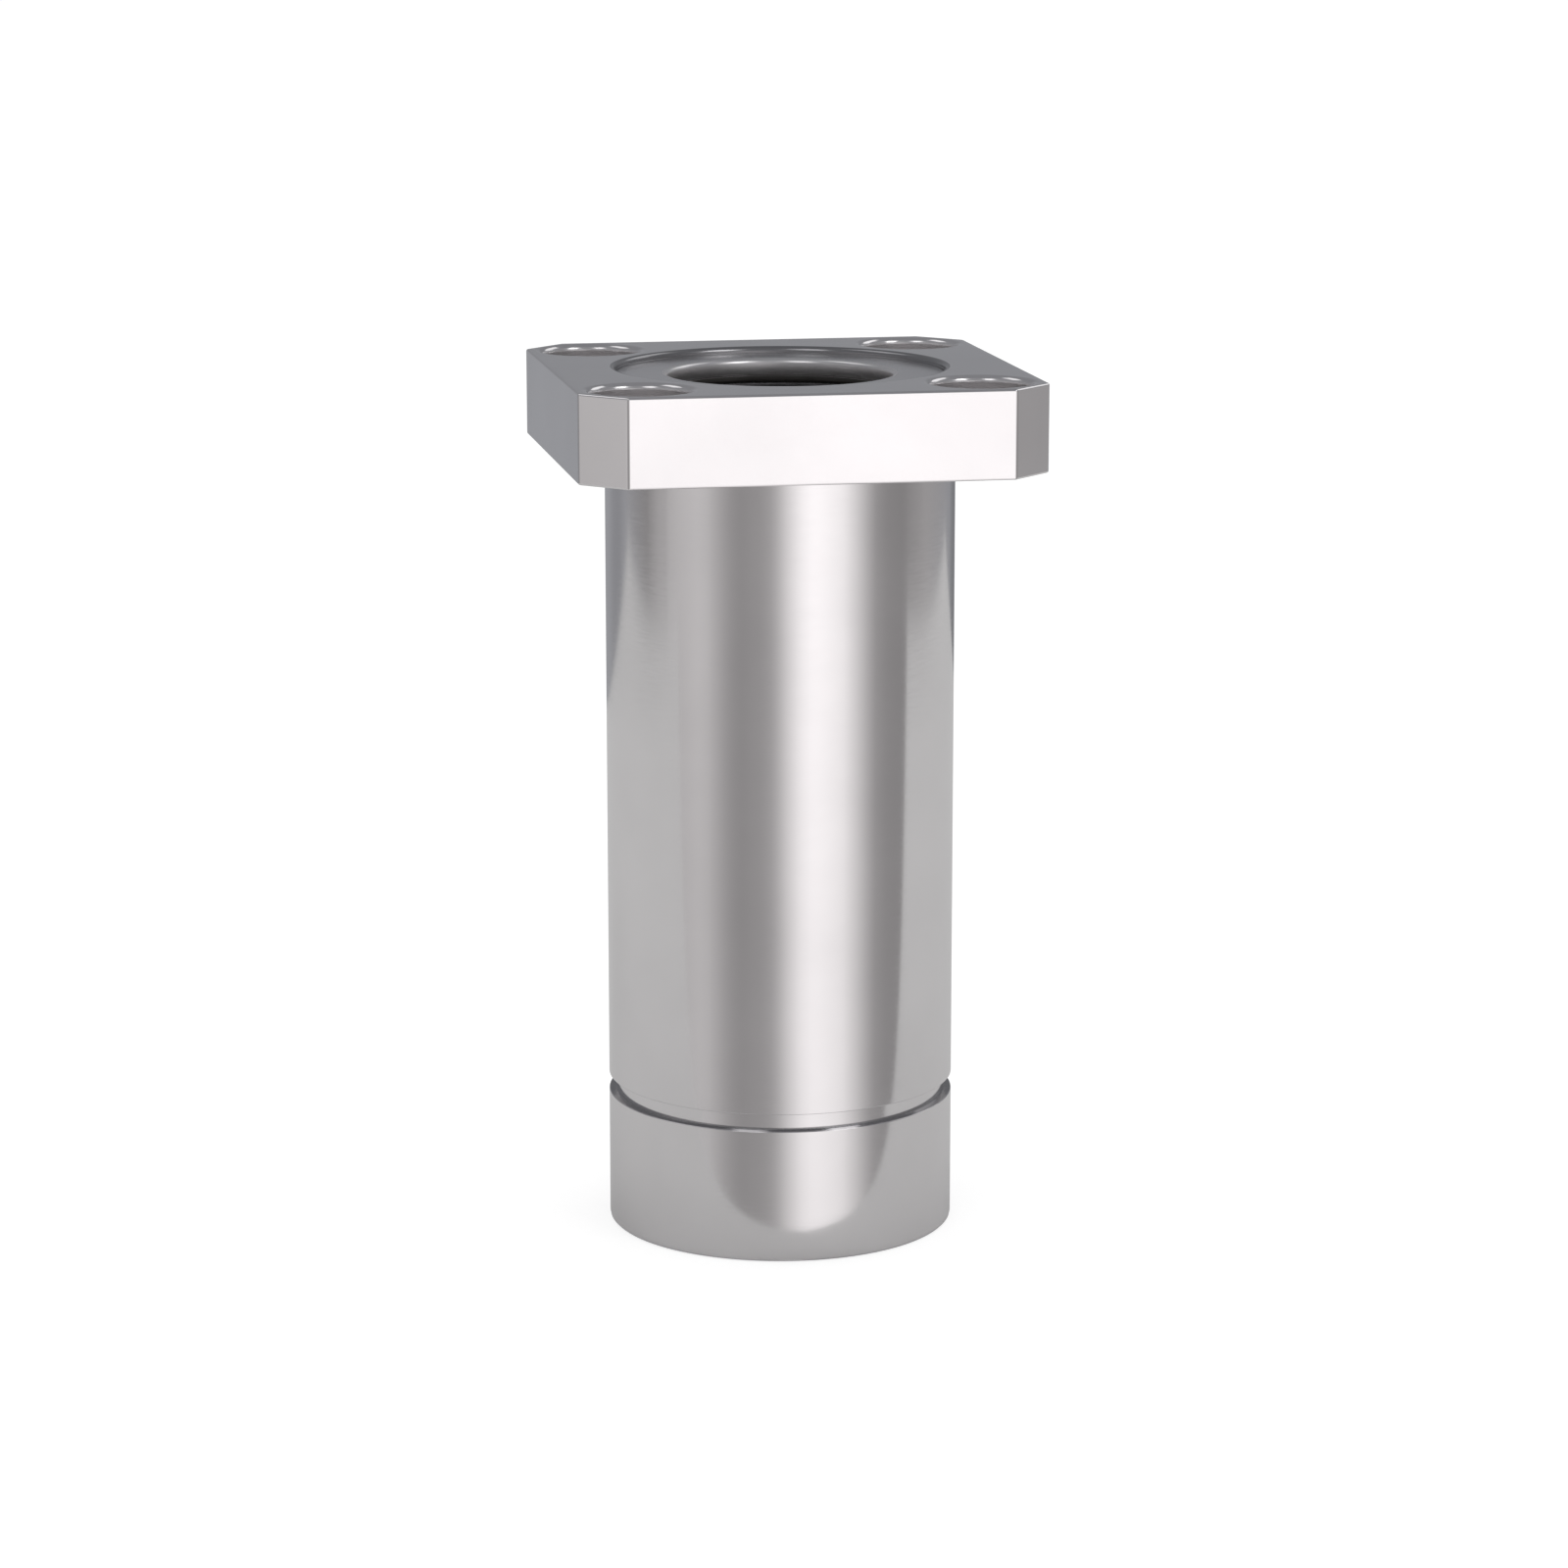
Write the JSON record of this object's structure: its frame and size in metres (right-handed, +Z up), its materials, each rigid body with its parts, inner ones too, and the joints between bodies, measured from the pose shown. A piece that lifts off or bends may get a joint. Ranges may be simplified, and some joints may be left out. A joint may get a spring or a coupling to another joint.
{
  "type": "square flange linear bearing",
  "caption": "Long ball bushing with a square screw-on flange for a sliding shaft: ground steel outer cylinder, moulded retainers with closed ball circuits, and a seal at each end.",
  "frame": {"origin": "centre of the sleeve's free end face, on which the part stands", "axes": "+Z up along the bore towards the flange, +X and +Y square to the flange's sides"},
  "size_m": [0.042, 0.042, 0.08],
  "materials": {
    "bearing_steel": "ground satin",
    "retainer_resin": "moulded",
    "ball_steel": "polished",
    "spring_steel": "satin",
    "case_steel": "pressed satin",
    "lip_rubber": "moulded"
  },
  "bodies": {
    "root": {"outer_cylinder": "bearing_steel", "upper_retainer": "retainer_resin", "upper_stop_ring": "spring_steel", "upper_seal_case": "case_steel", "upper_seal_lip": "lip_rubber", "upper_ball_circuit_1": "ball_steel", "upper_ball_circuit_2": "ball_steel", "upper_ball_circuit_3": "ball_steel", "upper_ball_circuit_4": "ball_steel", "upper_ball_circuit_5": "ball_steel", "lower_retainer": "retainer_resin", "lower_stop_ring": "spring_steel", "lower_seal_case": "case_steel", "lower_seal_lip": "lip_rubber", "lower_ball_circuit_1": "ball_steel", "lower_ball_circuit_2": "ball_steel", "lower_ball_circuit_3": "ball_steel", "lower_ball_circuit_4": "ball_steel", "lower_ball_circuit_5": "ball_steel"}
  },
  "joints": []
}
